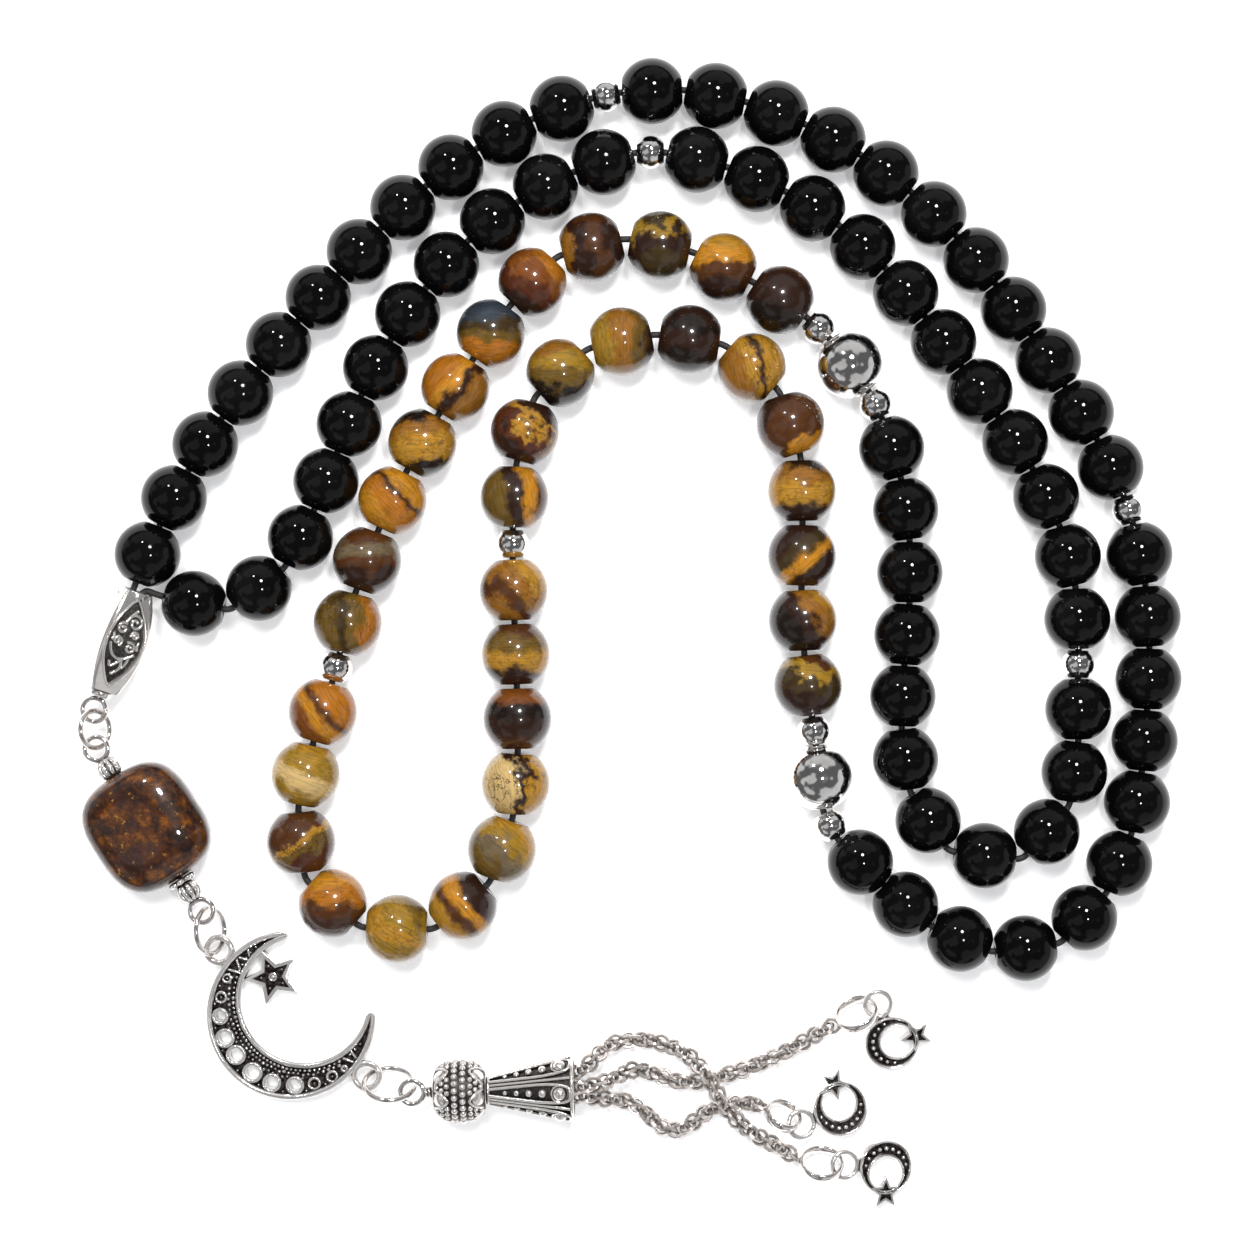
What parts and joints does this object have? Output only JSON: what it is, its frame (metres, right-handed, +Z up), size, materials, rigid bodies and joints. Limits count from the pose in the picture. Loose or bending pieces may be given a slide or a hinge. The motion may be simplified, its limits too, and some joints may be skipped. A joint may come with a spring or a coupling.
{
  "type": "misbaha prayer beads",
  "caption": "Strand of round stone prayer beads with silver spacers, a carved leader bead, a large polished stone, a crescent-and-star pendant and a tassel of charm chains.",
  "frame": {"origin": "middle of the strand's and tail's footprint on the surface it lies on, without the chains, end rings and charms", "axes": "+Z up from the surface, +Y along the strand's long turns away from the tassel, +X to the right, the way the tassel points"},
  "size_m": [0.1336, 0.1397, 0.0086],
  "materials": {
    "black_stone": "opaque polished black onyx",
    "tiger_eye_stone": "opaque polished tiger's eye, banded gold and dark brown",
    "brown_stone": "opaque polished bronzite-like stone, mottled dark brown and amber",
    "black_cord": "waxed black cord",
    "bright_silver": "polished silver plating",
    "antique_silver": "cast, silver plated, black oxide left in the recesses",
    "chain_steel": "silver plated link chain"
  },
  "bodies": {
    "strand": {"bead_string": "black_cord", "string_knot": "black_cord", "imame_bead": "antique_silver", "imame_eye_pin": "antique_silver", "black_stones_1": "black_stone", "black_stones_2": "black_stone", "black_stones_3": "black_stone", "tiger_eye_stones_1": "tiger_eye_stone", "tiger_eye_stones_2": "tiger_eye_stone", "tiger_eye_stones_3": "tiger_eye_stone", "black_stones_4": "black_stone", "black_stones_5": "black_stone", "black_stones_6": "black_stone"},
    "spacer_bead_1": {"spacer_bead_1": "bright_silver"},
    "spacer_bead_2": {"spacer_bead_2": "bright_silver"},
    "spacer_bead_3": {"spacer_bead_3": "bright_silver"},
    "large_silver_bead_1": {"large_silver_bead_1": "bright_silver"},
    "spacer_bead_4": {"spacer_bead_4": "bright_silver"},
    "spacer_bead_5": {"spacer_bead_5": "bright_silver"},
    "spacer_bead_6": {"spacer_bead_6": "bright_silver"},
    "spacer_bead_7": {"spacer_bead_7": "bright_silver"},
    "large_silver_bead_2": {"large_silver_bead_2": "bright_silver"},
    "spacer_bead_8": {"spacer_bead_8": "bright_silver"},
    "spacer_bead_9": {"spacer_bead_9": "bright_silver"},
    "spacer_bead_10": {"spacer_bead_10": "bright_silver"},
    "imame_collar": {"imame_collar": "antique_silver"},
    "upper_link": {"upper_link_ring": "antique_silver"},
    "nugget_hanger": {"nugget_pin": "antique_silver"},
    "nugget_upper_bead": {"nugget_upper_bead": "antique_silver"},
    "nugget_stone": {"nugget_stone": "brown_stone"},
    "nugget_cap": {"nugget_cap": "antique_silver"},
    "nugget_lower_bead": {"nugget_lower_bead": "antique_silver"},
    "middle_link": {"middle_link_ring": "antique_silver"},
    "crescent": {"crescent_pendant": "antique_silver"},
    "lower_link": {"lower_link_ring": "antique_silver"},
    "tassel": {"tassel_pin": "antique_silver", "tassel_chain_1": "chain_steel", "tassel_chain_2": "chain_steel", "tassel_chain_3": "chain_steel"},
    "tassel_round_bead": {"tassel_round_bead": "antique_silver"},
    "tassel_cone": {"tassel_cone": "antique_silver"},
    "chain_end_ring_1": {"chain_end_ring_1": "antique_silver"},
    "star_charm_1": {"star_charm_1": "antique_silver"},
    "chain_end_ring_2": {"chain_end_ring_2": "antique_silver"},
    "star_charm_2": {"star_charm_2": "antique_silver"},
    "chain_end_ring_3": {"chain_end_ring_3": "antique_silver"},
    "star_charm_3": {"star_charm_3": "antique_silver"}
  },
  "joints": [
    {"name": "spacer_bead_1_spin", "type": "hinge", "parent": "strand", "child": "spacer_bead_1", "pos_m": [-0.00268, 0.06009, 0.00417], "axis": [0.9787, 0.2053, 0], "continuous": true},
    {"name": "spacer_bead_2_spin", "type": "hinge", "parent": "strand", "child": "spacer_bead_2", "pos_m": [0.06068, 0.00988, 0.00417], "axis": [0.3182, -0.948, 0], "continuous": true},
    {"name": "spacer_bead_3_spin", "type": "hinge", "parent": "strand", "child": "spacer_bead_3", "pos_m": [0.02449, -0.02837, 0.00417], "axis": [-0.4587, 0.8886, 0], "continuous": true},
    {"name": "large_silver_bead_1_spin", "type": "hinge", "parent": "strand", "child": "large_silver_bead_1", "pos_m": [0.02318, -0.02251, 0.00417], "axis": [-0.102, 0.9948, 0], "continuous": true},
    {"name": "spacer_bead_4_spin", "type": "hinge", "parent": "strand", "child": "spacer_bead_4", "pos_m": [0.02255, -0.01694, 0.00417], "axis": [-0.1346, 0.9909, 0], "continuous": true},
    {"name": "spacer_bead_5_spin", "type": "hinge", "parent": "strand", "child": "spacer_bead_5", "pos_m": [-0.01396, 0.00572, 0.00417], "axis": [0.0026, -1, 0], "continuous": true},
    {"name": "spacer_bead_6_spin", "type": "hinge", "parent": "strand", "child": "spacer_bead_6", "pos_m": [-0.03536, -0.00922, 0.00417], "axis": [0.25, 0.9683, 0], "continuous": true},
    {"name": "spacer_bead_7_spin", "type": "hinge", "parent": "strand", "child": "spacer_bead_7", "pos_m": [0.02313, 0.03188, 0.00417], "axis": [0.7337, -0.6795, 0], "continuous": true},
    {"name": "large_silver_bead_2_spin", "type": "hinge", "parent": "strand", "child": "large_silver_bead_2", "pos_m": [0.02685, 0.02743, 0.00417], "axis": [0.5958, -0.8032, 0], "continuous": true},
    {"name": "spacer_bead_8_spin", "type": "hinge", "parent": "strand", "child": "spacer_bead_8", "pos_m": [0.03003, 0.02258, 0.00417], "axis": [0.4403, -0.8978, 0], "continuous": true},
    {"name": "spacer_bead_9_spin", "type": "hinge", "parent": "strand", "child": "spacer_bead_9", "pos_m": [0.05457, -0.00884, 0.00417], "axis": [0.0261, 0.9997, 0], "continuous": true},
    {"name": "spacer_bead_10_spin", "type": "hinge", "parent": "strand", "child": "spacer_bead_10", "pos_m": [0.00272, 0.05319, 0.00417], "axis": [-1, -0.0041, 0], "continuous": true},
    {"name": "imame_collar_spin", "type": "hinge", "parent": "strand", "child": "imame_collar", "pos_m": [-0.06394, -0.01234, 0.00417], "axis": [-0.3404, -0.9403, 0], "continuous": true},
    {"name": "upper_link_swing", "type": "hinge", "parent": "strand", "child": "upper_link", "pos_m": [-0.06469, -0.0144, 0.00417], "axis": [0, 0, 1], "range_deg": [-35, 1.5]},
    {"name": "nugget_hanger_swing", "type": "hinge", "parent": "upper_link", "child": "nugget_hanger", "pos_m": [-0.0644, -0.0191, 0.0043], "axis": [0, 0, -1], "range_deg": [-1.5, 30]},
    {"name": "nugget_upper_bead_spin", "type": "hinge", "parent": "nugget_hanger", "child": "nugget_upper_bead", "pos_m": [-0.06285, -0.02149, 0.0043], "axis": [0.5446, -0.8387, 0], "continuous": true},
    {"name": "nugget_stone_spin", "type": "hinge", "parent": "nugget_hanger", "child": "nugget_stone", "pos_m": [-0.05824, -0.02857, 0.0043], "axis": [0.5446, -0.8387, 0], "continuous": true},
    {"name": "nugget_cap_spin", "type": "hinge", "parent": "nugget_hanger", "child": "nugget_cap", "pos_m": [-0.054, -0.03511, 0.0043], "axis": [0.5446, -0.8387, 0], "continuous": true},
    {"name": "nugget_lower_bead_spin", "type": "hinge", "parent": "nugget_hanger", "child": "nugget_lower_bead", "pos_m": [-0.05318, -0.03637, 0.0043], "axis": [0.5446, -0.8387, 0], "continuous": true},
    {"name": "middle_link_swing", "type": "hinge", "parent": "nugget_hanger", "child": "middle_link", "pos_m": [-0.05163, -0.03876, 0.0043], "axis": [0, 0, 1], "range_deg": [-30, 1.5]},
    {"name": "crescent_swing", "type": "hinge", "parent": "middle_link", "child": "crescent", "pos_m": [-0.04986, -0.04374, 0.0019], "axis": [0, 0, -1], "range_deg": [-1, 30]},
    {"name": "lower_link_swing", "type": "hinge", "parent": "crescent", "child": "lower_link", "pos_m": [-0.03181, -0.05908, 0.0019], "axis": [0, 0, 1], "range_deg": [-35, 1.5]},
    {"name": "tassel_swing", "type": "hinge", "parent": "lower_link", "child": "tassel", "pos_m": [-0.02617, -0.06075, 0.00415], "axis": [0, 0, -1], "range_deg": [-2, 35]},
    {"name": "tassel_round_bead_spin", "type": "hinge", "parent": "tassel", "child": "tassel_round_bead", "pos_m": [-0.02037, -0.0606, 0.00415], "axis": [0.9997, 0.0262, 0], "continuous": true},
    {"name": "tassel_cone_spin", "type": "hinge", "parent": "tassel", "child": "tassel_cone", "pos_m": [-0.01182, -0.06037, 0.00415], "axis": [0.9997, 0.0262, 0], "continuous": true},
    {"name": "chain_end_ring_1_swing", "type": "hinge", "parent": "tassel", "child": "chain_end_ring_1", "pos_m": [0.02109, -0.0696, 0.00261], "axis": [0, 0, 1], "range_deg": [-25, 12]},
    {"name": "star_charm_1_swing", "type": "hinge", "parent": "chain_end_ring_1", "child": "star_charm_1", "pos_m": [0.02638, -0.06983, 0.00261], "axis": [0, 0, 1], "range_deg": [-40, 15]},
    {"name": "chain_end_ring_2_swing", "type": "hinge", "parent": "tassel", "child": "chain_end_ring_2", "pos_m": [0.02566, -0.05253, 0.00261], "axis": [0, 0, 1], "range_deg": [-13, 30]},
    {"name": "star_charm_2_swing", "type": "hinge", "parent": "chain_end_ring_2", "child": "star_charm_2", "pos_m": [0.03044, -0.05025, 0.00261], "axis": [0, 0, 1], "range_deg": [-27, 35]},
    {"name": "chain_end_ring_3_swing", "type": "hinge", "parent": "tassel", "child": "chain_end_ring_3", "pos_m": [0.01704, -0.06298, 0.00228], "axis": [0, 0, 1], "range_deg": [-5, 10]},
    {"name": "star_charm_3_swing", "type": "hinge", "parent": "chain_end_ring_3", "child": "star_charm_3", "pos_m": [0.0211, -0.06491, 0.00228], "axis": [0, 0, 1], "range_deg": [-4, 16]}
  ]
}
